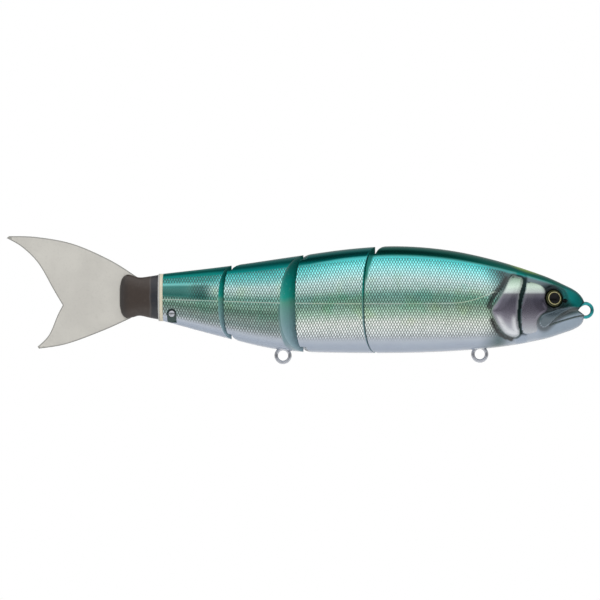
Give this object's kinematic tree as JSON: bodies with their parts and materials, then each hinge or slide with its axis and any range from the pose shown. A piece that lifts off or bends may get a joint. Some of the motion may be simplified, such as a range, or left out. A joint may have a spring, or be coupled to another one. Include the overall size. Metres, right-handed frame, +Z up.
{
  "type": "jointed swimbait",
  "caption": "Hard-bodied jointed swimbait: hinged body sections on vertical pins, a soft boot holding a forked tail fin, and wire eyes for line and hooks.",
  "frame": {"origin": "centre of the line eye's ring at the mouth", "axes": "+X towards the nose along the head section, +Z up through the back, +Y the fish's left side; the rear sections rest in a gentle S about vertical hinges"},
  "size_m": [0.2999, 0.0332, 0.0652],
  "materials": {
    "skin": "clear gloss coat over teal back, silver scale foil flanks and pearl belly",
    "foil": "metallised film stamped with a diamond scale pattern",
    "ballast_metal": "dull cast weight",
    "tinted_wire": "teal tinted wire",
    "polished_steel": "polished stainless wire",
    "hinge_steel": "stainless pin and plate",
    "iris": "black pupil with a thin gold ring",
    "lens": "clear domed resin",
    "post_plastic": "moulded",
    "cream_plastic": "satin cream",
    "smoky_elastomer": "dark smoky translucent elastomer",
    "fin_plastic": "warm grey satin sheet"
  },
  "bodies": {
    "head": {"head_shell_right": "skin", "head_shell_left": "skin", "head_reflector_right": "foil", "head_reflector_left": "foil", "head_ballast": "ballast_metal", "line_eye": "tinted_wire", "front_belly_eye": "polished_steel", "iris_right": "iris", "iris_left": "iris", "eye_lens_right": "lens", "eye_lens_left": "lens", "hinge_eye_upper_1": "hinge_steel", "hinge_eye_lower_1": "hinge_steel"},
    "front_body": {"front_body_shell_right": "skin", "front_body_shell_left": "skin", "front_body_reflector_right": "foil", "front_body_reflector_left": "foil", "front_body_ballast": "ballast_metal", "hinge_pin_1": "hinge_steel", "hinge_eye_upper_2": "hinge_steel", "hinge_eye_lower_2": "hinge_steel"},
    "rear_body": {"rear_body_shell_right": "skin", "rear_body_shell_left": "skin", "rear_body_reflector_right": "foil", "rear_body_reflector_left": "foil", "rear_body_ballast": "ballast_metal", "rear_belly_eye": "polished_steel", "hinge_pin_2": "hinge_steel", "hinge_eye_upper_3": "hinge_steel", "hinge_eye_lower_3": "hinge_steel"},
    "peduncle": {"peduncle_shell_right": "skin", "peduncle_shell_left": "skin", "peduncle_reflector_right": "foil", "peduncle_reflector_left": "foil", "hinge_pin_3": "hinge_steel", "tail_hook_pin": "polished_steel", "tail_post": "post_plastic", "tail_spacer": "cream_plastic", "tail_boot": "smoky_elastomer"},
    "tail_fin": {"tail_fin": "fin_plastic"}
  },
  "joints": [
    {"name": "head_hinge", "type": "hinge", "parent": "head", "child": "front_body", "pos_m": [-0.1113, 0, 0], "axis": [0, 0, 1], "range_deg": [-22, 2]},
    {"name": "middle_hinge", "type": "hinge", "parent": "front_body", "child": "rear_body", "pos_m": [-0.14794, -0.00646, 0], "axis": [0, 0, 1], "range_deg": [-3, 29]},
    {"name": "rear_hinge", "type": "hinge", "parent": "rear_body", "child": "peduncle", "pos_m": [-0.18349, -0.0046, 0], "axis": [0, 0, 1], "range_deg": [-15, 15]},
    {"name": "tail_flex", "type": "hinge", "parent": "peduncle", "child": "tail_fin", "pos_m": [-0.22753, -0.00229, 0.007], "axis": [0, 0, 1], "range_deg": [-35, 35], "stiffness_Nm_per_rad": 0.02, "deforming": ["tail_boot"]}
  ]
}
